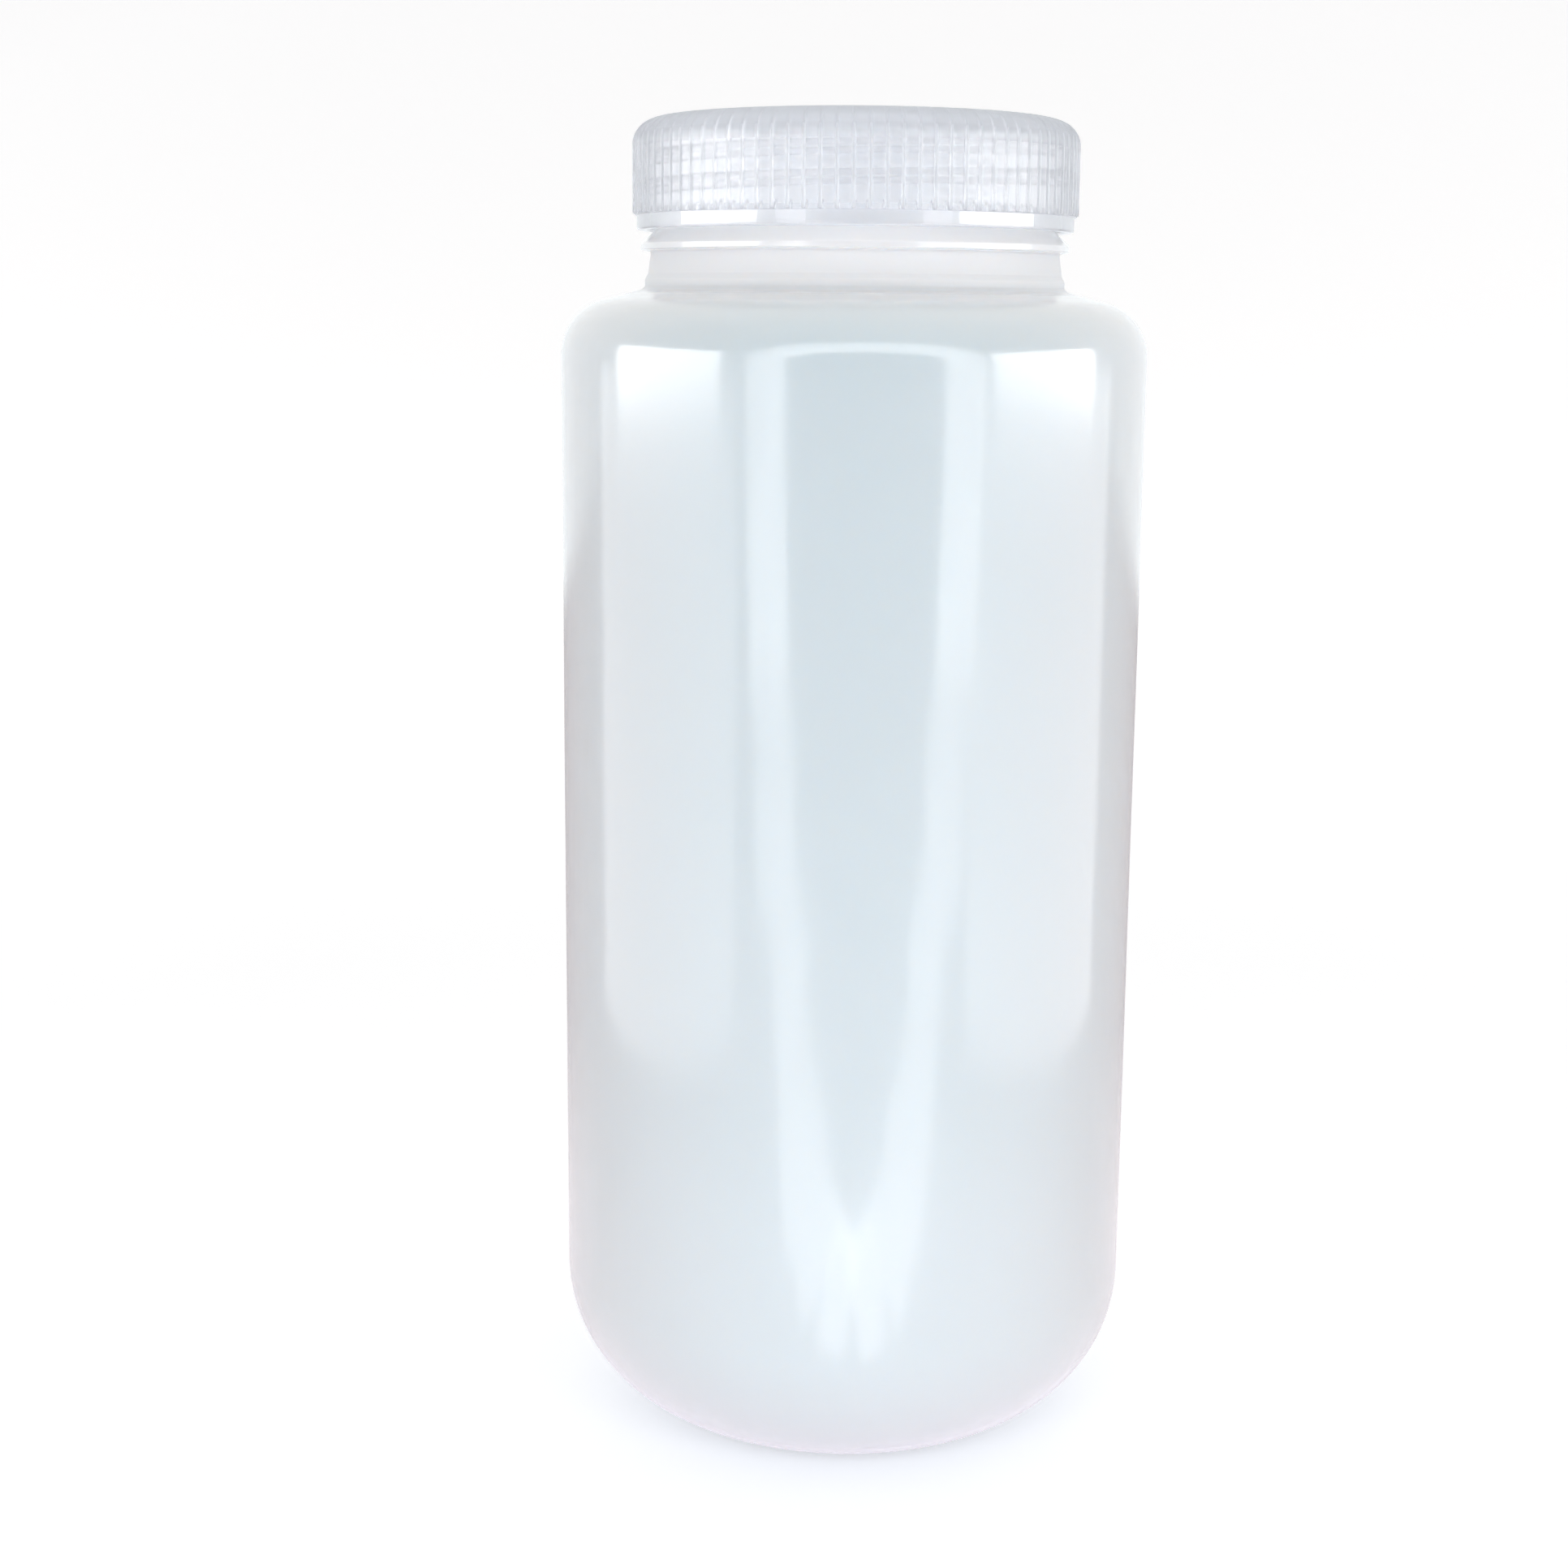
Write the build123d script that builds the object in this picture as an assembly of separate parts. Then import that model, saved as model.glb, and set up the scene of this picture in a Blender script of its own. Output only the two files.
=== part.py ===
"""Wide-mouth reagent bottle of one litre, with a ribbed screw cap and a sealing disc.

The bottle is a blow-moulded natural polyethylene shell with a moulded screw neck. The cap is an
injection-moulded clear polypropylene shell, and the disc is the soft wad under its top.
Millimetres. The origin is the centre of the foot ring's plane, and +Z runs up the bottle's axis.
"""

from build123d import *
from math import cos, pi, radians, sin, tan
import os

# ---- bottle shell ----
BODY_RADIUS = 45.5
WALL = 1.5
HEEL_RADIUS = 24.0  # large round under the straight wall
HEEL_SWEEP = 65.0  # degrees of that round, before the tighter one at the foot
FOOT_RADIUS = 10.0
FOOT_RING_INNER = 24.0  # the flat ring the bottle stands on starts here
PUSH_UP = 3.0  # height of the dome under the base
DOME_RADIUS = 22.5  # where the dome turns over into the foot ring
DOME_EDGE_Z = 0.2
WALL_TOP = 169.3  # where the straight wall meets the shoulder
SHOULDER_RADIUS = 9.0
SHOULDER_SWEEP = 76.0  # degrees of shoulder round, before the sloping top
SEAM_PROUD = 0.08  # height of the mould's parting line
SEAM_WIDTH = 0.5
PINCH_LENGTH = 34.0  # weld line left across the base where the mould pinched the tube
PINCH_WIDTH = 1.3
PINCH_PROUD = 0.6

# ---- neck ----
RIM_Z = 202.5
BORE_RADIUS = 27.6
NECK_RADIUS = 30.0  # root of the neck's thread
NECK_WALL_Z = 189.2  # the slope above the bead ends here
BEAD_RADIUS = 33.1  # the flange under the cap
BEAD_Z = 185.4
BEAD_THICK = 0.9
COLLAR_RADIUS = 31.5  # thicker neck just under the bead, which widens downwards
FLARE_RADIUS = 32.0
RING_RADIUS = 32.45  # the round ring at the foot of the neck
RING_Z = 180.6
NECK_FOOT_RADIUS = 33.0  # where the shoulder's slope reaches the neck

# ---- screw thread, shared by neck and cap ----
PITCH = 4.23  # six turns to the inch
NECK_CREST_RADIUS = 31.2
NECK_THREAD_START_Z = 192.5
NECK_THREAD_START = -80.0  # degrees, counted from +X towards +Y
NECK_THREAD_TURNS = 2.13
CAP_CREST_RADIUS = 30.5
CAP_THREAD_TURNS = 1.9
CAP_THREAD_BELOW = 1.3  # the cap's ridge lies this far under the neck's, which holds it down
RIDGE_ROOT_WIDTH = 1.7
RIDGE_CREST_WIDTH = 0.8
RUN_OUT = 0.06  # turns over which a ridge sinks into its wall at each end
RIDGE_BURY = 0.2  # how far a ridge's root lies inside its wall
POINTS_PER_TURN = 40

# ---- cap ----
CAP_TOP = 205.1
CAP_TOP_WALL = 1.5
CAP_SKIRT_Z = 188.4
CAP_BORE_RADIUS = 31.6
CAP_MOUTH_RADIUS = 32.1  # the skirt opens a little at its lower edge
BAND_RADIUS = 33.7  # smooth band below the ribs
BAND_TOP = 190.65
GRIP_RADIUS = 34.0  # between the ribs
RIB_RADIUS = 34.35
RIB_COUNT = 90
RIB_WIDTH = 0.55
RIB_BURY = 0.4  # how far a rib's root lies inside the cap's wall
CAP_CORNER = 3.9
PANEL_RADIUS = 27.0  # shallow recess in the cap's top
PANEL_DEPTH = 0.35
GATE_RADIUS = 1.6  # the moulding gate's mark at the middle of the recess
GATE_PROUD = 0.2

# ---- sealing disc ----
DISC_RADIUS = 31.3
DISC_THICK = 1.0
DISC_GAP = 0.05  # between the disc and the cap above, and between the disc and the rim below


def outline(*corners):
    """Lines through corners (radius, height, fillet), with each inner corner rounded by its fillet."""
    edges = []
    here = Vector(*corners[0][:2])
    for before, corner, after in zip(corners, corners[1:], corners[2:]):
        point = Vector(*corner[:2])
        back = (Vector(*before[:2]) - point).normalized()
        ahead = (Vector(*after[:2]) - point).normalized()
        fillet_radius = corner[2]
        if fillet_radius == 0:
            edges.append(Line(here, point))
            here = point
            continue
        half_angle = radians(back.get_angle(ahead) / 2)
        reach = fillet_radius / tan(half_angle)
        inward = (back + ahead).normalized()
        nearest = point + inward * (fillet_radius / sin(half_angle) - fillet_radius)
        edges.append(Line(here, point + back * reach))
        edges.append(ThreePointArc(point + back * reach, nearest, point + ahead * reach))
        here = point + ahead * reach
    edges.append(Line(here, Vector(*corners[-1][:2])))
    return edges


def turned(edges, degrees=360.0):
    """The solid of revolution about Z of a closed outline drawn as (radius, height)."""
    face = Plane.XZ * make_face(edges)
    return revolve(face, Axis.Z, degrees)


def heel(offset):
    """The two arcs from the wall down to the foot, drawn offset inside the outer surface."""
    sweep_angle = radians(HEEL_SWEEP)
    heel_r = BODY_RADIUS - HEEL_RADIUS
    heel_z = HEEL_RADIUS * sin(sweep_angle) + FOOT_RADIUS * (1 - sin(sweep_angle))
    foot_r = heel_r + (HEEL_RADIUS - FOOT_RADIUS) * cos(sweep_angle)
    upper = CenterArc((heel_r, heel_z), HEEL_RADIUS - offset, 0, -HEEL_SWEEP)
    lower = CenterArc((foot_r, FOOT_RADIUS), FOOT_RADIUS - offset, -HEEL_SWEEP, HEEL_SWEEP - 90)
    return upper, lower


def shoulder(offset):
    """The arc from the straight wall to the sloping top, drawn offset inside the outer surface."""
    centre = (BODY_RADIUS - SHOULDER_RADIUS, WALL_TOP)
    return CenterArc(centre, SHOULDER_RADIUS - offset, 0, SHOULDER_SWEEP)


def slope_height(start, radius):
    """Height of the shoulder's sloping top at a radius, from the end of its arc."""
    return start.Y + (start.X - radius) * tan(radians(90 - SHOULDER_SWEEP))


def skin(offset):
    """Open outline of the body from the foot ring to the shoulder's slope."""
    upper, lower = heel(offset)
    round_top = shoulder(offset)
    wall = Line(upper @ 0, round_top @ 0)
    return [lower, upper, wall, round_top], lower @ 1, round_top @ 1


def make_bottle():
    outer, outer_foot, outer_slope = skin(0)
    inner, inner_foot, inner_slope = skin(WALL)
    neck_foot = (NECK_FOOT_RADIUS, slope_height(outer_slope, NECK_FOOT_RADIUS))
    neck = outline(
        (outer_slope.X, outer_slope.Y),
        (*neck_foot, 1.0),
        (RING_RADIUS, RING_Z - 0.6, 0.5),
        (RING_RADIUS, RING_Z + 0.4, 0.5),
        (FLARE_RADIUS, RING_Z + 1.2, 0.6),
        (COLLAR_RADIUS, BEAD_Z - 0.1, 0.4),
        (BEAD_RADIUS, BEAD_Z, 0.15),
        (BEAD_RADIUS, BEAD_Z + BEAD_THICK, 0.3),
        (NECK_RADIUS, NECK_WALL_Z, 0.6),
        (NECK_RADIUS, RIM_Z, 0.6),
        (BORE_RADIUS, RIM_Z, 0.4),
        (BORE_RADIUS, slope_height(inner_slope, BORE_RADIUS), 5.0),
        (inner_slope.X, inner_slope.Y),
    )
    below = dome(0)
    above = dome(WALL)
    foot_ring = Line((FOOT_RING_INNER, 0), outer_foot)
    ring_edge = TangentArc((FOOT_RING_INNER, 0), below @ 1, tangent=(-1, 0))
    floor_ring = Line(inner_foot, (FOOT_RING_INNER, WALL))
    floor_edge = TangentArc((FOOT_RING_INNER, WALL), above @ 1, tangent=(-1, 0))
    middle = Line(below @ 0, above @ 0)
    base = [middle, below, ring_edge, foot_ring, above, floor_edge, floor_ring]
    shell = turned([*base, *outer, *neck, *inner])
    thread = ridge(
        NECK_RADIUS, NECK_CREST_RADIUS, NECK_THREAD_START_Z, NECK_THREAD_START, NECK_THREAD_TURNS
    )
    return shell + [*make_seam(), make_pinch(), thread]


def make_seam():
    """The mould's parting line: a thin raised rib up both sides, from the heel to the neck."""
    sides = []
    for offset in (-SEAM_PROUD, WALL / 2):
        lower, upper, wall, round_top = skin(offset)[0]
        top = (NECK_FOOT_RADIUS, slope_height(round_top @ 1, NECK_FOOT_RADIUS))
        sides.append([upper, wall, round_top, Line(round_top @ 1, top)])
    proud, buried = sides
    ends = [Line(proud[0] @ 1, buried[0] @ 1), Line(proud[-1] @ 1, buried[-1] @ 1)]
    width = SEAM_WIDTH / BODY_RADIUS * 180 / pi
    one = Rot(0, 0, -width / 2) * turned([*proud, *buried, *ends], width)
    return [one, Rot(0, 0, 180) * one]


def dome(offset):
    """The arc of the push-up under the base, from the axis outwards, drawn offset above its surface."""
    return TangentArc((0, PUSH_UP + offset), (DOME_RADIUS, DOME_EDGE_Z + offset), tangent=(1, 0))


def make_pinch():
    """The weld line across the dome under the base."""
    bar = Box(PINCH_LENGTH, PINCH_WIDTH, 2 * (PUSH_UP + WALL))
    low = dome(-PINCH_PROUD)
    high = dome(WALL / 2)
    return bar & turned([low, Line(low @ 1, high @ 1), high, Line(high @ 0, low @ 0)])


def ridge(root, crest, first_z, first_angle, turns):
    """A right-hand thread ridge standing from root to crest, which sinks into its wall at both ends."""
    outward = 1 if crest > root else -1
    sink = abs(crest - root) + 0.05
    points = []
    count = round(turns * POINTS_PER_TURN)
    for step in range(count + 1):
        turn = turns * step / count
        fade = min(1.0, turn / RUN_OUT, (turns - turn) / RUN_OUT)
        radius = root - outward * sink * (1 - sin(fade * pi / 2))
        angle = radians(first_angle) + 2 * pi * turn
        points.append((radius * cos(angle), radius * sin(angle), first_z + PITCH * turn))
    path = Spline(points)
    height = abs(crest - root)
    section = Polyline(
        (-outward * RIDGE_BURY, -RIDGE_ROOT_WIDTH / 2),
        (outward * height, -RIDGE_CREST_WIDTH / 2),
        (outward * height, RIDGE_CREST_WIDTH / 2),
        (-outward * RIDGE_BURY, RIDGE_ROOT_WIDTH / 2),
        close=True,
    )
    angle = radians(first_angle)
    start = Plane(points[0], x_dir=(cos(angle), sin(angle), 0), z_dir=(sin(angle), -cos(angle), 0))
    return sweep(start * make_face(section), path, is_frenet=True)


def grip_ribs():
    """The ribs round the cap, which fade out over its top corner."""
    centre = (GRIP_RADIUS - CAP_CORNER, CAP_TOP - CAP_CORNER)
    root_radius = GRIP_RADIUS - RIB_BURY
    crest = EllipticalCenterArc(centre, RIB_RADIUS - centre[0], CAP_CORNER, arc_size=90)
    root = CenterArc(centre, CAP_CORNER - RIB_BURY, 0, 90)
    edges = [
        crest,
        Line(crest @ 1, root @ 1),
        root,
        Line(root @ 0, (root_radius, BAND_TOP)),
        Line((root_radius, BAND_TOP), (RIB_RADIUS, BAND_TOP)),
        Line((RIB_RADIUS, BAND_TOP), crest @ 0),
    ]
    rib = turned(edges, RIB_WIDTH / RIB_RADIUS * 180 / pi)
    return [Rot(0, 0, 360 / RIB_COUNT * step) * rib for step in range(RIB_COUNT)]


def make_cap():
    ceiling = CAP_TOP - CAP_TOP_WALL
    shell = turned(
        outline(
            (0, ceiling),
            (CAP_BORE_RADIUS, ceiling, 0.4),
            (CAP_BORE_RADIUS, CAP_SKIRT_Z + 3.2, 0.5),
            (CAP_MOUTH_RADIUS, CAP_SKIRT_Z + 2.4, 0.5),
            (CAP_MOUTH_RADIUS, CAP_SKIRT_Z, 0.25),
            (BAND_RADIUS, CAP_SKIRT_Z, 0.35),
            (BAND_RADIUS, BAND_TOP, 0),
            (GRIP_RADIUS, BAND_TOP, 0),
            (GRIP_RADIUS, CAP_TOP, CAP_CORNER),
            (PANEL_RADIUS, CAP_TOP, 0.3),
            (PANEL_RADIUS - 0.4, CAP_TOP - PANEL_DEPTH, 0.2),
            (GATE_RADIUS + 0.3, CAP_TOP - PANEL_DEPTH, 0.1),
            (GATE_RADIUS, CAP_TOP - PANEL_DEPTH + GATE_PROUD, 0.1),
            (0, CAP_TOP - PANEL_DEPTH + GATE_PROUD),
        )
        + [Line((0, CAP_TOP - PANEL_DEPTH + GATE_PROUD), (0, ceiling))]
    )
    # The cap's ridge starts on the far side, where the neck's has already climbed half a pitch.
    first_z = NECK_THREAD_START_Z + PITCH / 2 - CAP_THREAD_BELOW
    first_angle = NECK_THREAD_START + 180
    thread = ridge(CAP_BORE_RADIUS, CAP_CREST_RADIUS, first_z, first_angle, CAP_THREAD_TURNS)
    return shell + [*grip_ribs(), thread]


def make_disc():
    top = CAP_TOP - CAP_TOP_WALL - DISC_GAP
    disc = Cylinder(DISC_RADIUS, DISC_THICK, align=(Align.CENTER, Align.CENTER, Align.MAX))
    return Pos(0, 0, top) * fillet(disc.edges().filter_by(GeomType.CIRCLE), 0.3)


def main():
    os.makedirs("parts", exist_ok=True)
    export_step(make_bottle(), "parts/bottle.step")
    export_step(make_cap(), "parts/screw_cap.step")
    export_step(make_disc(), "parts/sealing_disc.step")


main()
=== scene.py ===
"""The look of the wide-mouth reagent bottle: turned meshes, materials, soft light and the camera.

Outlines are drawn as (radius, height) about the bottle's axis in millimetres, and become metres when
a mesh is made. The main heights and radii come from the CAD nodes' own boxes.
"""

import math

import bpy
from mathutils import Matrix, Vector


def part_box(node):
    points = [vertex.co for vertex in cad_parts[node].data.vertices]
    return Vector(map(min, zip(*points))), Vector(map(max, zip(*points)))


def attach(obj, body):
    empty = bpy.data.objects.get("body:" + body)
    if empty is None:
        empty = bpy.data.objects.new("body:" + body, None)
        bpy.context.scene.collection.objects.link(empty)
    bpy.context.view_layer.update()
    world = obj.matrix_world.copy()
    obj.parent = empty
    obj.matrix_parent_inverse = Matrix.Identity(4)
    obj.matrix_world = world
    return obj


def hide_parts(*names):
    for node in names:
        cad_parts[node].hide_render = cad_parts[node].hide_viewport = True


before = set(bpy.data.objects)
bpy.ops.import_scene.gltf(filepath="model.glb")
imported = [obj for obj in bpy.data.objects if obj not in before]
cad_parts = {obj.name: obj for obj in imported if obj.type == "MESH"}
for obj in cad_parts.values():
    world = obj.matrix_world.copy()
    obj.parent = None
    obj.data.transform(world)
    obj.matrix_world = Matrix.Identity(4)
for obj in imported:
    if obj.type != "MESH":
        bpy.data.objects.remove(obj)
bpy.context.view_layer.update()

MM = 0.001
TURN = 2 * math.pi


# ---------------------------------------------------------------- sizes, in millimetres

bottle_low, bottle_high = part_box("bottle")
cap_low, cap_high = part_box("screw_cap")
disc_low, disc_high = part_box("sealing_disc")

RIM_Z = bottle_high.z / MM
BODY_RADIUS = bottle_high.y / MM
CAP_TOP = cap_high.z / MM
CAP_SKIRT_Z = cap_low.z / MM
RIB_RADIUS = cap_high.x / MM
DISC_RADIUS = disc_high.x / MM
DISC_LOW = disc_low.z / MM
DISC_HIGH = disc_high.z / MM

# Body: wall, heel, foot ring, push-up and shoulder.
WALL = 1.5
HEEL_RADIUS = 24.0
HEEL_SWEEP = 65.0
FOOT_RADIUS = 10.0
FOOT_RING_INNER = 24.0
FOOT_RING_OUTER = 27.0
PUSH_UP = 3.0
DOME_RADIUS = 22.5
DOME_EDGE_Z = 0.2
DOME_BLEND = 0.7
DOME_BLEND_Z = 0.05
SHOULDER_RADIUS = 9.0
SHOULDER_SWEEP = 76.0
WALL_TOP = RIM_Z - 33.2

# The mould's parting line down both sides, and the line where it pinched the base shut.
SEAM_PROUD = 0.07
SEAM_HALF_WIDTH = 0.28
SEAM_START_Z = 0.9
SEAM_FULL_Z = 3.0
PINCH_HALF_LENGTH = 17.0
PINCH_HALF_WIDTH = 0.65
PINCH_PROUD = 0.55

# Small waves in the blown wall: lobes round it, drift with height in radians, and phase.
WAVES = ((3, 0.055, 0.0), (5, -0.09, 1.3), (2, 0.021, 4.0))
WAVE_DEPTH = 0.012
WAVE_LOW = (10.0, 30.0)
WAVE_HIGH = (WALL_TOP - 14, WALL_TOP)

# Neck, from its foot up: ring, flare, collar, bead, and the wall that carries the thread.
NECK_FOOT_RADIUS = 33.0
RING_RADIUS = 32.45
RING_Z = RIM_Z - 21.9
RING_LOW = RING_Z - 0.6
RING_HIGH = RING_Z + 0.4
FLARE_RADIUS = 32.0
FLARE_Z = RING_Z + 1.2
COLLAR_RADIUS = 31.5
BEAD_RADIUS = 33.1
BEAD_Z = RIM_Z - 17.1
BEAD_THICK = 0.9
NECK_RADIUS = 30.0
NECK_WALL_Z = RIM_Z - 13.3
BORE_RADIUS = 27.6
RIM_CORNER = 0.6

# Threads of neck and cap.
PITCH = 4.23
RIDGE_HALF_ROOT = 1.25
RIDGE_HALF_CREST = 0.0
RUN_OUT = 0.06
NECK_CREST = 1.17
NECK_THREAD_Z = RIM_Z - 10.0
NECK_THREAD_ANGLE = math.radians(-80)
NECK_THREAD_TURNS = 2.13
CAP_CREST = 1.07
CAP_THREAD_Z = NECK_THREAD_Z + PITCH / 2 - 1.3
CAP_THREAD_ANGLE = NECK_THREAD_ANGLE + math.pi
CAP_THREAD_TURNS = 1.9

# Cap: inside, smooth lower band, ribbed grip, rounded corner and recessed top.
CAP_CEILING = CAP_TOP - 1.5
CAP_BORE_RADIUS = 31.6
CAP_MOUTH_RADIUS = 32.1
CAP_MOUTH_Z = CAP_SKIRT_Z + 2.4
CAP_BORE_Z = CAP_SKIRT_Z + 3.2
CAP_THREAD_LOW = CAP_SKIRT_Z + 4.0
CAP_THREAD_HIGH = CAP_CEILING - 0.6
BAND_RADIUS = 33.7
BAND_TOP = CAP_SKIRT_Z + 2.25
GRIP_RADIUS = 34.0
GRIP_LOW = BAND_TOP + 0.4
RIB_COUNT = 90
RIB_HALF_WIDTH = 0.26
RIB_PROUD = RIB_RADIUS - GRIP_RADIUS - 0.01
RIB_START_Z = BAND_TOP + 0.03
CAP_CORNER = 3.9
PANEL_RADIUS = 27.0
PANEL_DEPTH = 0.35
GATE_RADIUS = 1.6
GATE_PROUD = 0.2

# The ring that the rim has pressed into the foam.
DENT_DEPTH = 0.06

# How fine the meshes are: longest stretch of an outline, and steps round the axis.
WALL_STRETCH = 2.5
NECK_STRETCH = 0.6
NECK_THREAD_STRETCH = 0.12
RIM_STRETCH = 1.5
CAP_THREAD_STRETCH = 0.14
SKIRT_STRETCH = 0.8
GRIP_STRETCH = 1.5
CAP_FLAT_STRETCH = 4.0
DISC_STRETCH = 0.5
DOME_STEPS = 27
BOTTLE_STEPS = 400
DISC_STEPS = 256
SEAM_STEP = 0.1
SEAM_STEPS_EACH_SIDE = 6


# ---------------------------------------------------------------- outlines

def arc(centre, radius, start, end, steps):
    """Points on an arc about a centre, with angles in degrees from the outward direction."""
    points = []
    for step in range(steps + 1):
        angle = math.radians(start + (end - start) * step / steps)
        points.append((centre[0] + radius * math.cos(angle), centre[1] + radius * math.sin(angle)))
    return points


def rounded(*corners, steps=6):
    """Points along lines through corners (radius, height, fillet), each fillet drawn as an arc."""
    points = [corners[0][:2]]
    for before, corner, after in zip(corners, corners[1:], corners[2:]):
        here = Vector(corner[:2])
        back = (Vector(before[:2]) - here).normalized()
        ahead = (Vector(after[:2]) - here).normalized()
        fillet = corner[2]
        half = back.angle(ahead) / 2
        centre = here + (back + ahead).normalized() * (fillet / math.sin(half))
        first = here + back * (fillet / math.tan(half)) - centre
        last = here + ahead * (fillet / math.tan(half)) - centre
        for step in range(steps + 1):
            direction = first.lerp(last, step / steps).normalized()
            points.append(tuple(centre + direction * fillet))
    points.append(corners[-1][:2])
    return points


def divided(points, longest):
    """The same outline with extra points, so that no stretch is longer than the given length."""
    result = [points[0]]
    for (r0, z0), (r1, z1) in zip(points, points[1:]):
        pieces = max(1, math.ceil(math.hypot(r1 - r0, z1 - z0) / longest))
        for piece in range(1, pieces + 1):
            share = piece / pieces
            result.append((r0 + (r1 - r0) * share, z0 + (z1 - z0) * share))
    return result


def joined(*runs):
    """One outline out of several, without repeated points."""
    same_point = 1e-4
    result = []
    for run in runs:
        for point in run:
            if not result or math.dist(point, result[-1]) > same_point:
                result.append(point)
    return result


def smooth(value, low, high):
    """Eases from 0 at low to 1 at high."""
    share = min(1.0, max(0.0, (value - low) / (high - low)))
    return share * share * (3 - 2 * share)


# ---------------------------------------------------------------- meshes

def lathe(name, outline, angles, shape):
    """A closed turned mesh. The outline runs from the axis out and back to the axis.

    shape(radius, height, angle) gives the moved (radius, height) of a point, all in millimetres.
    """
    count = len(angles)
    vertices = []
    faces = []
    first_pole = 0
    vertices.append((0.0, 0.0, shape(0.0, outline[0][1], 0.0)[1] * MM))
    for radius, height in outline[1:-1]:
        for angle in angles:
            moved_radius, moved_height = shape(radius, height, angle)
            x = moved_radius * math.cos(angle) * MM
            y = moved_radius * math.sin(angle) * MM
            vertices.append((x, y, moved_height * MM))
    last_pole = len(vertices)
    vertices.append((0.0, 0.0, shape(0.0, outline[-1][1], 0.0)[1] * MM))
    rows = len(outline) - 2
    for step in range(count):
        after = (step + 1) % count
        faces.append((first_pole, 1 + after, 1 + step))
        for row in range(rows - 1):
            low = 1 + row * count
            high = low + count
            faces.append((low + step, low + after, high + after, high + step))
        top = 1 + (rows - 1) * count
        faces.append((last_pole, top + step, top + after))
    mesh = bpy.data.meshes.new(name)
    mesh.from_pydata(vertices, [], faces)
    mesh.validate()
    mesh.shade_smooth()
    piece = bpy.data.objects.new(name, mesh)
    bpy.context.scene.collection.objects.link(piece)
    return piece


def stand_in(piece, node, body):
    """The piece is shown in place of a CAD node, and moves with the node's body."""
    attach(piece, body)
    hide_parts(node)


def even_angles(count):
    return [TURN * step / count for step in range(count)]


def ridge_height(height, angle, first_z, first_angle, turns):
    """How far a thread ridge stands out at a point, from 0 to 1."""
    base = ((angle - first_angle) % TURN) / TURN
    best = 0.0
    for whole in range(math.ceil(turns) + 1):
        turn = base + whole
        if turn > turns:
            continue
        away = abs(height - (first_z + PITCH * turn))
        flank = 1 - smooth(away, RIDGE_HALF_CREST, RIDGE_HALF_ROOT)
        fade = smooth(min(turn, turns - turn), 0.0, RUN_OUT)
        best = max(best, flank * fade)
    return best


# ---------------------------------------------------------------- bottle

def body_side(offset):
    """The body from the foot ring to the shoulder's slope, offset inside the outer surface."""
    sweep = math.radians(HEEL_SWEEP)
    heel_r = BODY_RADIUS - HEEL_RADIUS
    heel_z = HEEL_RADIUS * math.sin(sweep) + FOOT_RADIUS * (1 - math.sin(sweep))
    foot_r = heel_r + (HEEL_RADIUS - FOOT_RADIUS) * math.cos(sweep)
    foot = arc((foot_r, FOOT_RADIUS), FOOT_RADIUS - offset, -90, -HEEL_SWEEP, 10)
    heel = arc((heel_r, heel_z), HEEL_RADIUS - offset, -HEEL_SWEEP, 0, 36)
    centre = (BODY_RADIUS - SHOULDER_RADIUS, WALL_TOP)
    shoulder = arc(centre, SHOULDER_RADIUS - offset, 0, SHOULDER_SWEEP, 30)
    return joined(foot, heel, divided([heel[-1], shoulder[0]], WALL_STRETCH), shoulder)


def slope_height(start, radius):
    """The height where the shoulder's slope, going on from its start, reaches a radius."""
    return start[1] + (start[0] - radius) * math.tan(math.radians(90 - SHOULDER_SWEEP))


def dome(offset):
    """The push-up under the base, from the axis to the foot ring."""
    edge_z = DOME_EDGE_Z + offset
    points = []
    for step in range(DOME_STEPS + 1):
        radius = DOME_RADIUS * step / DOME_STEPS
        points.append((radius, edge_z + (PUSH_UP - DOME_EDGE_Z) * (1 - (radius / DOME_RADIUS) ** 2)))
    points.append((DOME_RADIUS + DOME_BLEND, offset + DOME_BLEND_Z))
    points.append((FOOT_RING_INNER, offset))
    return points


def bottle_outline():
    """From under the base, up the outside, over the rim and down the inside. Third values are fillets."""
    outer = body_side(0)
    inner = body_side(WALL)
    neck_foot = (NECK_FOOT_RADIUS, slope_height(outer[-1], NECK_FOOT_RADIUS))
    bore_foot = (BORE_RADIUS, slope_height(inner[-1], BORE_RADIUS))
    thread_low = (NECK_RADIUS, NECK_WALL_Z + 0.6)
    thread_high = (NECK_RADIUS, RIM_Z - RIM_CORNER)
    lower_neck = rounded(
        outer[-1],
        (*neck_foot, 1.0),
        (RING_RADIUS, RING_LOW, 0.5),
        (RING_RADIUS, RING_HIGH, 0.5),
        (FLARE_RADIUS, FLARE_Z, 0.6),
        (COLLAR_RADIUS, BEAD_Z - 0.1, 0.4),
        (BEAD_RADIUS, BEAD_Z, 0.15),
        (BEAD_RADIUS, BEAD_Z + BEAD_THICK, 0.3),
        (NECK_RADIUS, NECK_WALL_Z, 0.6),
        thread_low,
    )
    thread_zone = divided([thread_low, thread_high], NECK_THREAD_STRETCH)
    rim = rounded(
        thread_high,
        (NECK_RADIUS, RIM_Z, RIM_CORNER - 0.01),
        (BORE_RADIUS, RIM_Z, 0.4),
        (*bore_foot, 5.0),
        inner[-1],
    )
    return joined(
        dome(0),
        [(FOOT_RING_OUTER, 0.0)],
        outer,
        divided(lower_neck, NECK_STRETCH),
        thread_zone,
        divided(rim, RIM_STRETCH),
        inner[::-1],
        dome(WALL)[::-1],
    )


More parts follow.
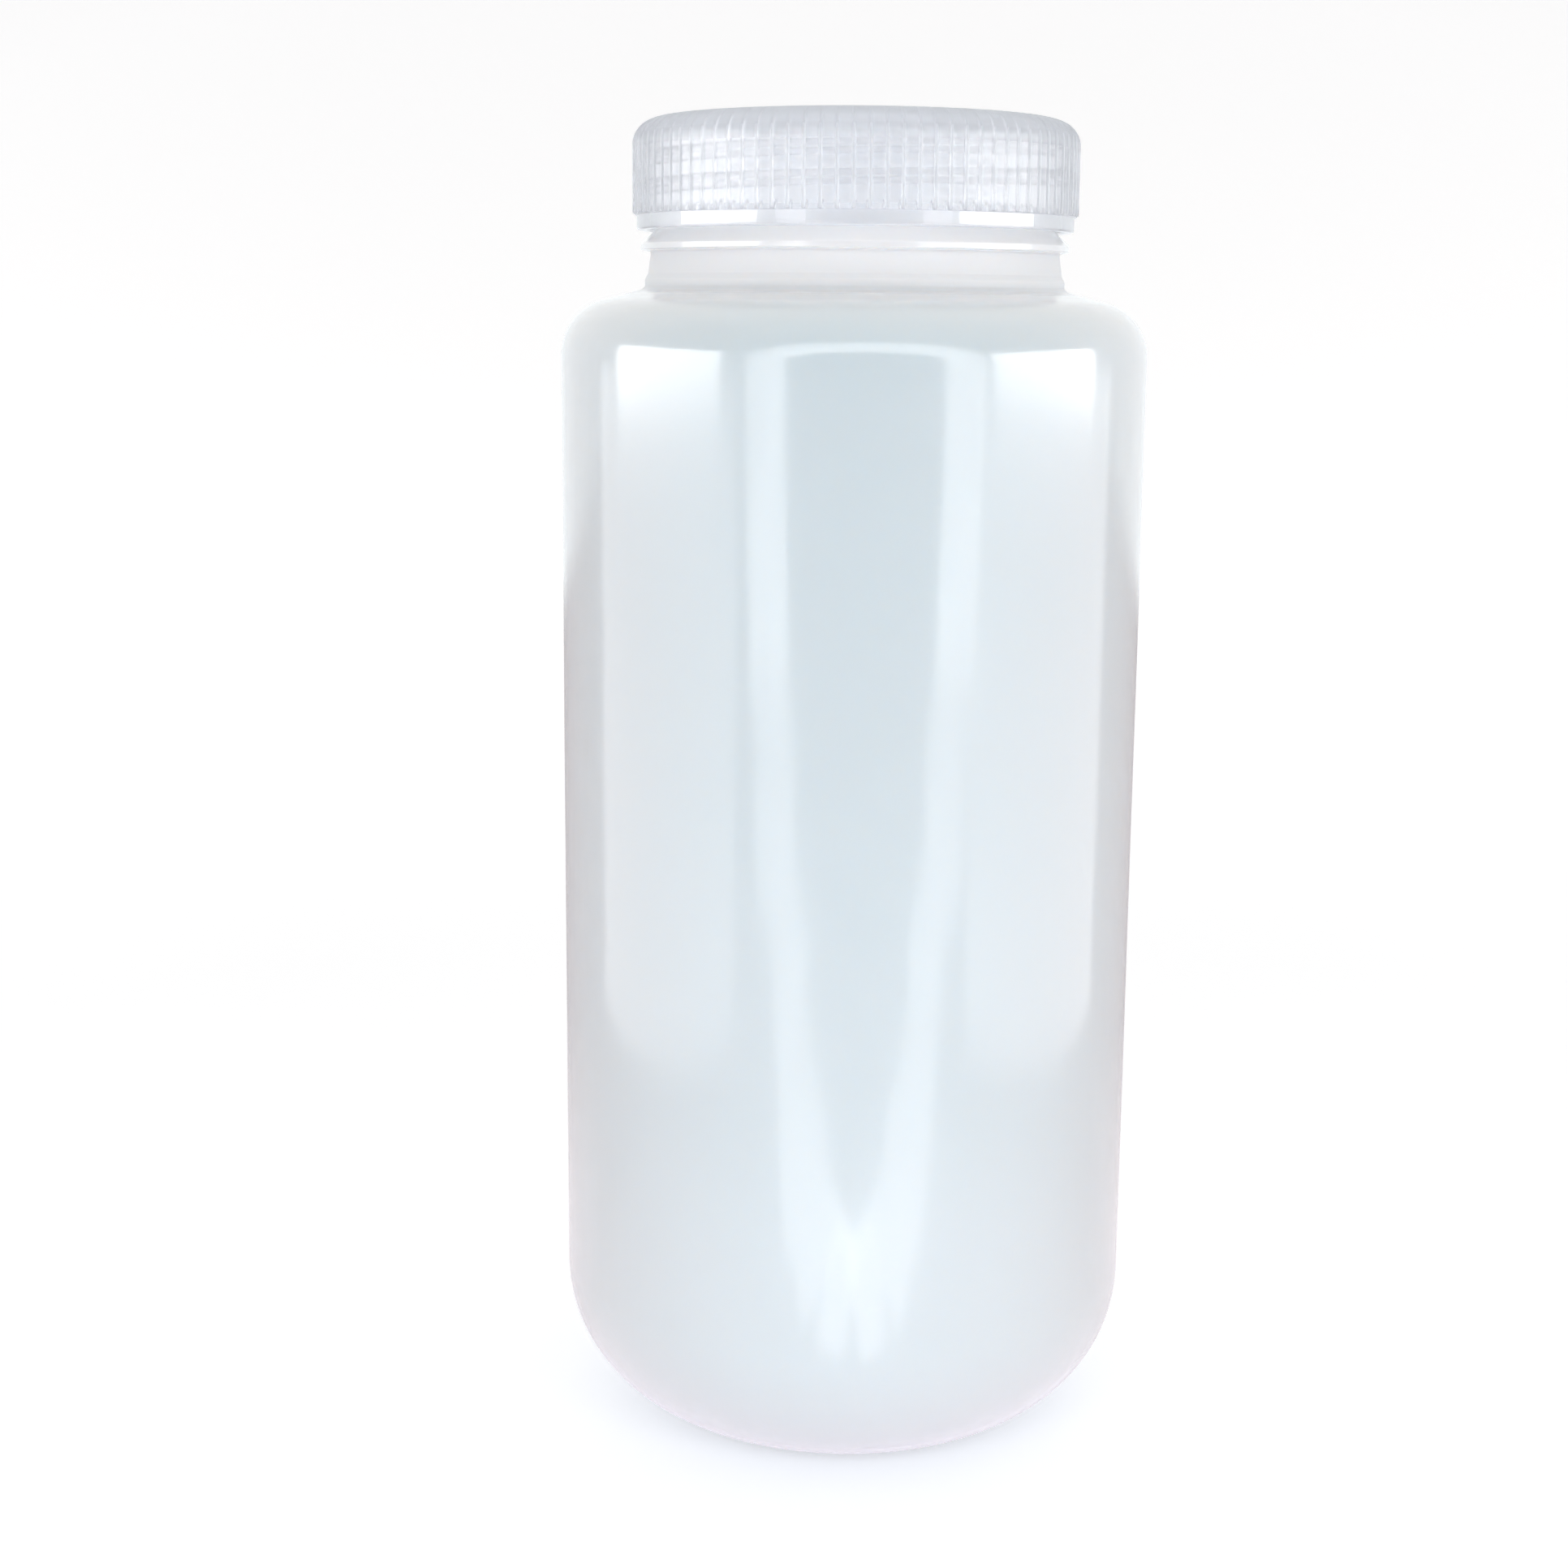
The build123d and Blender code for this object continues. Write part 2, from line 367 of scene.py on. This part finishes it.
def bottle_shape(radius, height, angle):
    """Moves a point of the bottle for its thread, its mould seam and the small waves of its wall."""
    across = radius * math.sin(angle)
    along = radius * math.cos(angle)
    if radius > NECK_RADIUS - 0.05 and height > NECK_WALL_Z + 0.5:
        depth = smooth(NECK_RADIUS - radius, 0.3, 0.0) if radius < NECK_RADIUS else 1.0
        radius += depth * NECK_CREST * ridge_height(
            height, angle, NECK_THREAD_Z, NECK_THREAD_ANGLE, NECK_THREAD_TURNS
        )
    elif radius > NECK_FOOT_RADIUS - 0.5 and height < RING_Z - 1.2:
        seam = SEAM_PROUD * (1 - smooth(abs(across), 0.0, SEAM_HALF_WIDTH))
        seam *= smooth(height, SEAM_START_Z, SEAM_FULL_Z)
        wave = sum(math.sin(lobes * angle + drift * height + phase) for lobes, drift, phase in WAVES)
        on_wall = smooth(height, *WAVE_LOW) * (1 - smooth(height, *WAVE_HIGH))
        radius += seam - WAVE_DEPTH * (len(WAVES) - wave) * on_wall
    elif radius < DOME_RADIUS and height < PUSH_UP + 0.01:
        bar = 1 - smooth(abs(across), PINCH_HALF_WIDTH * 0.55, PINCH_HALF_WIDTH * 1.2)
        bar *= 1 - smooth(abs(along), PINCH_HALF_LENGTH - 0.8, PINCH_HALF_LENGTH)
        height -= PINCH_PROUD * bar
    return radius, height


def bottle_angles():
    """Even steps round the bottle, with close steps added across the parting line's two sides."""
    same_angle = 1e-5
    angles = set(even_angles(BOTTLE_STEPS))
    for middle in (0.0, math.pi):
        for step in range(-SEAM_STEPS_EACH_SIDE, SEAM_STEPS_EACH_SIDE + 1):
            angles.add((middle + step * SEAM_STEP / BODY_RADIUS) % TURN)
    ordered = []
    for angle in sorted(angles):
        if not ordered or angle - ordered[-1] > same_angle:
            ordered.append(angle)
    return ordered


def make_bottle():
    piece = lathe("bottle_shell", bottle_outline(), bottle_angles(), bottle_shape)
    stand_in(piece, "bottle", "bottle")
    return piece


# ---------------------------------------------------------------- cap

def cap_outline():
    """From the ceiling, down the inside, round the skirt, up the grip and over the top to the axis."""
    corner = arc((GRIP_RADIUS - CAP_CORNER, CAP_TOP - CAP_CORNER), CAP_CORNER, 0, 90, 16)
    panel_z = CAP_TOP - PANEL_DEPTH
    ceiling = rounded(
        (0.0, CAP_CEILING),
        (CAP_BORE_RADIUS, CAP_CEILING, 0.4),
        (CAP_BORE_RADIUS, CAP_THREAD_HIGH),
        steps=4,
    )
    thread_zone = divided(
        [(CAP_BORE_RADIUS, CAP_THREAD_HIGH), (CAP_BORE_RADIUS, CAP_THREAD_LOW)], CAP_THREAD_STRETCH
    )
    skirt = rounded(
        (CAP_BORE_RADIUS, CAP_THREAD_LOW),
        (CAP_BORE_RADIUS, CAP_BORE_Z, 0.5),
        (CAP_MOUTH_RADIUS, CAP_MOUTH_Z, 0.5),
        (CAP_MOUTH_RADIUS, CAP_SKIRT_Z, 0.25),
        (BAND_RADIUS, CAP_SKIRT_Z, 0.35),
        (BAND_RADIUS, BAND_TOP - 0.1),
        steps=5,
    )
    ledge = rounded(
        (BAND_RADIUS, BAND_TOP - 0.1),
        (BAND_RADIUS, BAND_TOP, 0.05),
        (GRIP_RADIUS, BAND_TOP, 0.08),
        (GRIP_RADIUS, GRIP_LOW),
        steps=3,
    )
    grip = divided([(GRIP_RADIUS, GRIP_LOW), corner[0]], GRIP_STRETCH)
    panel = rounded(
        corner[-1],
        (PANEL_RADIUS, CAP_TOP, 0.3),
        (PANEL_RADIUS - 0.4, panel_z, 0.2),
        (GATE_RADIUS + 0.3, panel_z, 0.1),
        (GATE_RADIUS, panel_z + GATE_PROUD, 0.1),
        (0.0, panel_z + GATE_PROUD),
        steps=4,
    )
    return joined(
        divided(ceiling, CAP_FLAT_STRETCH),
        thread_zone,
        divided(skirt, SKIRT_STRETCH),
        ledge,
        grip,
        corner,
        divided(panel, CAP_FLAT_STRETCH),
    )


def cap_shape(radius, height, angle):
    """Moves a point of the cap for its grip ribs and its inner thread."""
    in_thread = CAP_BORE_Z + 0.1 < height < CAP_CEILING - 0.5
    if radius < CAP_BORE_RADIUS + 0.01 and in_thread:
        radius -= CAP_CREST * ridge_height(
            height, angle, CAP_THREAD_Z, CAP_THREAD_ANGLE, CAP_THREAD_TURNS
        )
    elif radius > GRIP_RADIUS - CAP_CORNER and height > BAND_TOP + 0.02:
        step = TURN / RIB_COUNT
        away = abs((angle + step / 2) % step - step / 2) * GRIP_RADIUS
        rib = 1 - smooth(away, RIB_HALF_WIDTH - 0.13, RIB_HALF_WIDTH + 0.09)
        centre = (GRIP_RADIUS - CAP_CORNER, CAP_TOP - CAP_CORNER)
        level = 1.0
        if height > centre[1]:
            level = (radius - centre[0]) / CAP_CORNER
        radius += RIB_PROUD * rib * level * smooth(height, RIB_START_Z, GRIP_LOW)
    return radius, height


def rib_angles():
    """Angles that are close together at each rib's two edges, and further apart between ribs."""
    step = TURN / RIB_COUNT
    edge = RIB_HALF_WIDTH / GRIP_RADIUS
    across_rib = (-1.35, -1.15, -0.95, -0.75, -0.5, 0.0, 0.5, 0.75, 0.95, 1.15, 1.35)
    between_ribs = (0.3, 0.43, 0.57, 0.7)
    angles = []
    for rib in range(RIB_COUNT):
        angles += [rib * step + offset * edge for offset in across_rib]
        angles += [rib * step + step * share for share in between_ribs]
    return angles


def make_cap():
    piece = lathe("cap_shell", cap_outline(), rib_angles(), cap_shape)
    stand_in(piece, "screw_cap", "cap")
    return piece


# ---------------------------------------------------------------- disc

def disc_shape(radius, height, angle):
    """The rim has pressed a shallow ring into the foam's lower face."""
    if height < (DISC_LOW + DISC_HIGH) / 2:
        away = abs(radius - (BORE_RADIUS + NECK_RADIUS) / 2)
        height += DENT_DEPTH * (1 - smooth(away, 1.0, 1.6))
    return radius, height


def make_disc():
    outline = rounded(
        (0.0, DISC_LOW),
        (DISC_RADIUS, DISC_LOW, 0.3),
        (DISC_RADIUS, DISC_HIGH, 0.3),
        (0.0, DISC_HIGH),
    )
    piece = lathe("foam_disc", divided(outline, DISC_STRETCH), even_angles(DISC_STEPS), disc_shape)
    stand_in(piece, "sealing_disc", "seal")
    return piece


# ---------------------------------------------------------------- shader helpers

class Shader:
    """Short ways to add nodes to one material's or world's node tree."""

    def __init__(self, tree):
        self.nodes = tree.nodes
        self.links = tree.links
        self.nodes.clear()

    def connect(self, source, target):
        """Links a socket to an input, or sets the input to a plain value or colour."""
        if isinstance(source, bpy.types.NodeSocket):
            self.links.new(source, target)
        else:
            target.default_value = source

    def node(self, kind, **inputs):
        """A node with some of its inputs set or linked by name."""
        node = self.nodes.new(kind)
        for key, value in inputs.items():
            self.connect(value, node.inputs[key.replace("_", " ")])
        return node

    def ramp(self, source, low, high, at_low=0.0, at_high=1.0):
        """A value that goes from at_low to at_high while the source goes from low to high."""
        limits = {"From_Min": low, "From_Max": high, "To_Min": at_low, "To_Max": at_high}
        return self.node("ShaderNodeMapRange", Value=source, **limits).outputs["Result"]

    def calculate(self, operation, *values):
        node = self.nodes.new("ShaderNodeMath")
        node.operation = operation
        for value, target in zip(values, node.inputs):
            self.connect(value, target)
        return node.outputs["Value"]

    def length(self, vector):
        node = self.nodes.new("ShaderNodeVectorMath")
        node.operation = "LENGTH"
        self.links.new(vector, node.inputs[0])
        return node.outputs["Value"]

    def mix(self, share, first, second, kind="RGBA"):
        """The first colour or value where the share is 0, the second where it is 1."""
        node = self.nodes.new("ShaderNodeMix")
        node.data_type = kind
        self.connect(share, node.inputs["Factor"])
        self.connect(first, node.inputs["A"])
        self.connect(second, node.inputs["B"])
        return node.outputs["Result"]

    def blend(self, share, first, second):
        """The first surface where the share is 0, the second where it is 1."""
        node = self.nodes.new("ShaderNodeMixShader")
        for source, target in zip((share, first, second), node.inputs):
            self.connect(source, target)
        return node.outputs["Shader"]

    def bump(self, scale, strength, distance, detail=4.0):
        """Normals bumped by noise, with its scale in bumps per metre."""
        where = self.nodes.new("ShaderNodeTexCoord").outputs["Object"]
        noise = self.node("ShaderNodeTexNoise", Vector=where, Scale=scale, Detail=detail, Roughness=0.55)
        bump = self.node(
            "ShaderNodeBump", Height=noise.outputs["Fac"], Strength=strength, Distance=distance
        )
        return bump.outputs["Normal"]

    def finish(self, surface, kind="ShaderNodeOutputMaterial"):
        self.node(kind, Surface=surface)


def new_material(name):
    material = bpy.data.materials.new(name)
    material.use_nodes = True
    return material, Shader(material.node_tree)


# ---------------------------------------------------------------- materials

def polyethylene():
    """Natural polyethylene: milky, lets light through, and has a satin skin.

    Its colour is painted paler where the wall is seen edge-on, a painted edge brightening, and painted
    near white over the neck, painted light. The collar under the bead is matt.
    """
    material, shader = new_material("natural_polyethylene")
    bumped = shader.bump(scale=900.0, strength=0.10, distance=0.00004)
    where = shader.nodes.new("ShaderNodeTexCoord").outputs["Object"]
    height = shader.node("ShaderNodeSeparateXYZ", Vector=where).outputs["Z"]
    cloud = shader.node("ShaderNodeTexNoise", Vector=where, Scale=28.0, Detail=3.0, Roughness=0.5)
    cloud = cloud.outputs["Fac"]

    tint = shader.mix(cloud, (0.705, 0.852, 1.0, 1), (0.735, 0.865, 1.0, 1))
    # Painted edge brightening: the colour pales towards white where the wall is seen edge-on.
    painted_edge_paling = shader.node("ShaderNodeLayerWeight", Blend=0.35).outputs["Facing"]
    tint = shader.mix(painted_edge_paling, tint, (0.96, 0.97, 1.0, 1))
    # Painted light: the neck's colour is made near white so that it reads as brightly lit.
    painted_neck_light = shader.ramp(height, (RING_Z - 2.6) * MM, (RING_Z + 0.2) * MM)
    tint = shader.mix(painted_neck_light, tint, (0.99, 0.99, 0.99, 1))

    below_bead = shader.ramp(height, BEAD_Z * MM, (BEAD_Z - 0.3) * MM)
    above_ring = shader.ramp(height, (RING_Z - 2.0) * MM, (RING_Z - 0.5) * MM)
    in_collar = shader.calculate("MULTIPLY", below_bead, above_ring)
    satin = shader.ramp(cloud, 0.0, 1.0, 0.13, 0.18)
    roughness = shader.mix(in_collar, satin, 0.6, "FLOAT")
    coat = shader.ramp(in_collar, 0.0, 1.0, 0.7, 0.0)

    skin = shader.node(
        "ShaderNodeBsdfPrincipled",
        Base_Color=tint,
        Roughness=roughness,
        IOR=1.53,
        Normal=bumped,
        Subsurface_Weight=1.0,
        Subsurface_Radius=(1.1, 1.0, 0.92),
        Subsurface_Scale=0.0035,
        Coat_Weight=coat,
        Coat_Roughness=0.12,
        Coat_Normal=bumped,
    )
    shader.finish(skin.outputs["BSDF"])
    return material


def polypropylene():
    """Clear polypropylene with a slight blue-grey haze. Light passes through it to what is inside.

    It is hazier in the thick top corner and in the ribs. The ribs' crests and the lower band are polished.
    """
    material, shader = new_material("clear_polypropylene")
    haze_colour = (0.78, 0.80, 0.83, 1)
    bumped = shader.bump(scale=1200.0, strength=0.03, distance=0.00001, detail=2.0)
    where = shader.nodes.new("ShaderNodeTexCoord").outputs["Object"]
    height = shader.node("ShaderNodeSeparateXYZ", Vector=where).outputs["Z"]
    flattened = shader.nodes.new("ShaderNodeVectorMath")
    flattened.operation = "MULTIPLY"
    flattened.inputs[1].default_value = (1, 1, 0)
    shader.links.new(where, flattened.inputs[0])
    outward = shader.length(flattened.outputs["Vector"])

    in_band = shader.ramp(height, (BAND_TOP + 0.1) * MM, (BAND_TOP - 0.1) * MM)
    on_crest = shader.ramp(outward, (GRIP_RADIUS + 0.04) * MM, (GRIP_RADIUS + 0.14) * MM)
    clear = shader.node(
        "ShaderNodeBsdfPrincipled",
        Base_Color=(0.97, 0.975, 0.985, 1),
        Roughness=0.26,
        IOR=1.49,
        Normal=bumped,
        Specular_IOR_Level=0.35,
        Transmission_Weight=1.0,
        Coat_Weight=shader.calculate("MAXIMUM", in_band, on_crest),
        Coat_Roughness=0.03,
        Coat_Normal=bumped,
    )

    corner_z = CAP_TOP - CAP_CORNER
    thickness = shader.ramp(height, (corner_z - 0.6) * MM, (corner_z + 1.6) * MM, 0.29, 0.72)
    haziness = shader.calculate("MULTIPLY_ADD", on_crest, 0.15, thickness)
    through = shader.node("ShaderNodeBsdfTranslucent", Color=haze_colour)
    back = shader.node("ShaderNodeBsdfDiffuse", Color=haze_colour)
    haze = shader.blend(0.5, through.outputs["BSDF"], back.outputs["BSDF"])
    plastic = shader.blend(haziness, clear.outputs["BSDF"], haze)

    shadow_ray = shader.nodes.new("ShaderNodeLightPath").outputs["Is Shadow Ray"]
    passed_light = shader.node("ShaderNodeBsdfTransparent", Color=(0.88, 0.89, 0.91, 1))
    shader.finish(shader.blend(shadow_ray, plastic, passed_light.outputs["BSDF"]))
    return material


def foam():
    """White closed-cell foam with fine cells."""
    material, shader = new_material("white_foam")
    where = shader.nodes.new("ShaderNodeTexCoord").outputs["Object"]
    cells = shader.node("ShaderNodeTexVoronoi", Vector=where, Scale=2600.0).outputs["Distance"]
    bump = shader.node("ShaderNodeBump", Height=cells, Strength=0.5, Distance=0.00008)
    skin = shader.node(
        "ShaderNodeBsdfPrincipled",
        Base_Color=shader.mix(cells, (0.80, 0.80, 0.79, 1), (0.93, 0.93, 0.92, 1)),
        Roughness=0.75,
        Normal=bump.outputs["Normal"],
        Subsurface_Weight=0.3,
        Subsurface_Scale=0.001,
    )
    shader.finish(skin.outputs["BSDF"])
    return material


def floor_material():
    """A white sheet for the camera, and a pale table with a glow near the bottle for everything else.

    The camera sees the sheet from above only. The backdrop lets light through, so that it doesn't
    shade the bottle's back. The glow is strongest in reflections in front of the bottle.
    """
    material, shader = new_material("pale_floor")
    where = shader.nodes.new("ShaderNodeTexCoord").outputs["Object"]
    place = shader.node("ShaderNodeSeparateXYZ", Vector=where)
    from_bottle = shader.length(where)
    path = shader.nodes.new("ShaderNodeLightPath")
    unseen = shader.nodes.new("ShaderNodeBsdfTransparent").outputs["BSDF"]

    sheet = shader.node(
        "ShaderNodeBsdfPrincipled",
        Base_Color=(0.60, 0.60, 0.605, 1),
        Roughness=0.6,
        Normal=shader.bump(scale=60.0, strength=0.05, distance=0.0005),
        Emission_Color=(1, 1, 1, 1),
        Emission_Strength=shader.ramp(from_bottle, 0.3, 1.7, 0.47, 0.70),
    )
    seen_from_below = shader.nodes.new("ShaderNodeNewGeometry").outputs["Backfacing"]
    for_camera = shader.blend(seen_from_below, sheet.outputs["BSDF"], unseen)

    glow = shader.ramp(from_bottle, 0.10, 0.24, 0.18, 0.0)
    in_front = shader.ramp(place.outputs["Y"], 0.01, -0.07, 0.4, 4.0)
    mirrored = shader.calculate("MULTIPLY_ADD", path.outputs["Is Glossy Ray"], in_front, 1.0)
    table = shader.node(
        "ShaderNodeBsdfPrincipled",
        Base_Color=(0.73, 0.685, 0.71, 1),
        Roughness=1.0,
        Emission_Color=(1.0, 0.93, 0.96, 1),
        Emission_Strength=shader.calculate("MULTIPLY", glow, mirrored),
    )
    up_backdrop = shader.ramp(place.outputs["Z"], 0.0, 0.02)
    for_others = shader.blend(up_backdrop, table.outputs["BSDF"], unseen)
    shader.finish(shader.blend(path.outputs["Is Camera Ray"], for_others, for_camera))
    return material


# ---------------------------------------------------------------- stage, light and camera, in metres

def make_stage():
    """A pale floor that curves up into a backdrop behind the bottle."""
    half_width, front, bend_y, bend_radius, top = 3.0, -3.0, 0.9, 0.8, 3.0
    bend_steps = 24
    run = [(front, 0.0), (bend_y, 0.0)]
    for step in range(1, bend_steps + 1):
        angle = math.pi / 2 * step / bend_steps
        run.append((bend_y + bend_radius * math.sin(angle), bend_radius * (1 - math.cos(angle))))
    run.append((bend_y + bend_radius, top))
    vertices = []
    faces = []
    for index, (y, z) in enumerate(run):
        vertices += [(-half_width, y, z), (half_width, y, z)]
        if index:
            faces.append((2 * index - 2, 2 * index - 1, 2 * index + 1, 2 * index))
    mesh = bpy.data.meshes.new("floor")
    mesh.from_pydata(vertices, [], faces)
    mesh.shade_smooth()
    floor = bpy.data.objects.new("floor", mesh)
    bpy.context.scene.collection.objects.link(floor)
    floor.data.materials.append(floor_material())


def area_light(name, place, turn, width, height, power, gloss_only):
    """A rectangular light that the camera can't see. A gloss-only light shows in reflections alone."""
    data = bpy.data.lights.new(name, "AREA")
    data.shape = "RECTANGLE"
    data.size = width
    data.size_y = height
    data.energy = power
    light = bpy.data.objects.new(name, data)
    light.matrix_world = Matrix.Translation(place) @ turn.to_4x4()
    light.visible_camera = False
    light.visible_diffuse = not gloss_only
    bpy.context.scene.collection.objects.link(light)
    return light


def make_panel(name, azimuth, elevation, distance, width, height, power, gloss_only=False):
    """A panel of light aimed at the shoulder. Azimuth is from the front (-Y) towards +X."""
    aim = Vector((0, 0, WALL_TOP * MM))
    side, rise = math.radians(azimuth), math.radians(elevation)
    outward = Vector((
        math.cos(rise) * math.sin(side), -math.cos(rise) * math.cos(side), math.sin(rise)
    ))
    turn = outward.to_track_quat("Z", "Y").to_matrix()
    area_light(name, aim + outward * distance, turn, width, height, power, gloss_only)


def make_bar(name, start, end, width, radiance, gloss_only=False):
    """A bar of slightly cool light from one point to another, facing the bottle's middle."""
    start, end = Vector(start), Vector(end)
    middle = (start + end) / 2
    length = (end - start).length
    along = (end - start).normalized()
    behind = middle - Vector((0, 0, WALL_TOP * MM / 2))
    behind = (behind - along * behind.dot(along)).normalized()
    across = along.cross(behind)
    turn = Matrix((across, along, behind)).transposed()
    power = radiance * math.pi * width * length
    bar = area_light(name, middle, turn, width, length, power, gloss_only)
    bar.data.color = (0.97, 0.98, 1.0)


def ring_points(count):
    """A ring light round the camera, placed by where its reflection is seen on the bottle's front.

    A part of the ring that would be below the floor is drawn nearer to the bottle, just above it.
    """
    sideways, half_width, squareness = 3.5, 40.0, 0.7
    upwards, half_height = 3.0, 25.5
    mirror_drop = 6.4
    clear_of_floor = 0.012
    points = []
    for step in range(count):
        angle = TURN * step / count
        swing = math.copysign(abs(math.sin(angle)) ** squareness, math.sin(angle))
        side = math.radians(sideways + half_width * swing)
        rise = math.radians(upwards + half_height * math.cos(angle))
        mirror_z = min(WALL_TOP, WALL_TOP + mirror_drop * (math.degrees(rise) + 1)) * MM
        reach = 0.5
        if rise < 0:
            reach = min(reach, (mirror_z - clear_of_floor) / math.sin(-rise))
        across = Vector((math.sin(side), -math.cos(side), 0)) * math.cos(rise)
        start = Vector((0, -BODY_RADIUS * MM, mirror_z))
        points.append(start + (across + Vector((0, 0, math.sin(rise)))) * reach)
    return points


def make_lights():
    """Two side windows, a box above, two side cards, and a ring of bars round the camera.

    The windows and cards show only in reflections. The ring is brighter in its upper part.
    """
    make_panel("left_window", -77, 7, 0.9, 0.84, 0.30, 3.8, gloss_only=True)
    make_panel("right_window", 77, 7, 0.9, 0.84, 0.30, 3.8, gloss_only=True)
    make_panel("top_box", 0, 80, 1.2, 1.6, 1.6, 1.5)
    for side in (-1, 1):
        near = (side * 0.15, -0.17, 0.09)
        far = (side * 0.22, 0.06, 0.09)
        make_bar("side_card", near, far, 0.15, 1.1, gloss_only=True)
    ring = ring_points(28)
    for start, end in zip(ring, ring[1:] + ring[:1]):
        middle = (start + end) / 2
        radiance = 1.5 + 1.0 * smooth(middle.z, 0.02, 0.10)
        make_bar("ring_part", start, end, 0.25 * middle.length, radiance)


def make_world():
    """Soft surroundings, dark in front and bright behind, cooler level with the bottle and warmer above.

    The camera sees plain white.
    """
    world = bpy.data.worlds.new("studio")
    bpy.context.scene.world = world
    world.use_nodes = True
    shader = Shader(world.node_tree)
    where = shader.nodes.new("ShaderNodeTexCoord").outputs["Generated"]
    direction = shader.node("ShaderNodeSeparateXYZ", Vector=where)
    hue = shader.mix(direction.outputs["Z"], (0.94, 0.98, 1.0, 1), (0.90, 0.87, 0.85, 1))
    strength = shader.ramp(direction.outputs["Y"], -1.0, 0.3, 0.0, 1.1)
    surround = shader.node("ShaderNodeBackground", Color=hue, Strength=strength)
    white = shader.node("ShaderNodeBackground", Color=(0.95, 0.95, 0.955, 1))
    camera_ray = shader.nodes.new("ShaderNodeLightPath").outputs["Is Camera Ray"]
    seen = shader.blend(camera_ray, surround.outputs["Background"], white.outputs["Background"])
    shader.finish(seen, "ShaderNodeOutputWorld")


def make_camera():
    """Slightly above the bottle's middle, in front, looking down at it by about eleven degrees."""
    data = bpy.data.cameras.new("camera")
    data.sensor_width = 36.0
    data.lens = 57.3
    data.clip_start = 0.01
    camera = bpy.data.objects.new("camera", data)
    pitch = math.radians(90 - 10.84)
    roll = math.radians(0.46)
    turn = Matrix.Rotation(pitch, 4, "X") @ Matrix.Rotation(roll, 4, "Z")
    camera.matrix_world = Matrix.Translation((-0.0103, -0.3952, 0.1771)) @ turn
    bpy.context.scene.collection.objects.link(camera)
    bpy.context.scene.camera = camera


make_bottle().data.materials.append(polyethylene())
make_cap().data.materials.append(polypropylene())
make_disc().data.materials.append(foam())
make_stage()
make_lights()
make_world()
make_camera()
bpy.context.scene.view_settings.view_transform = "Standard"

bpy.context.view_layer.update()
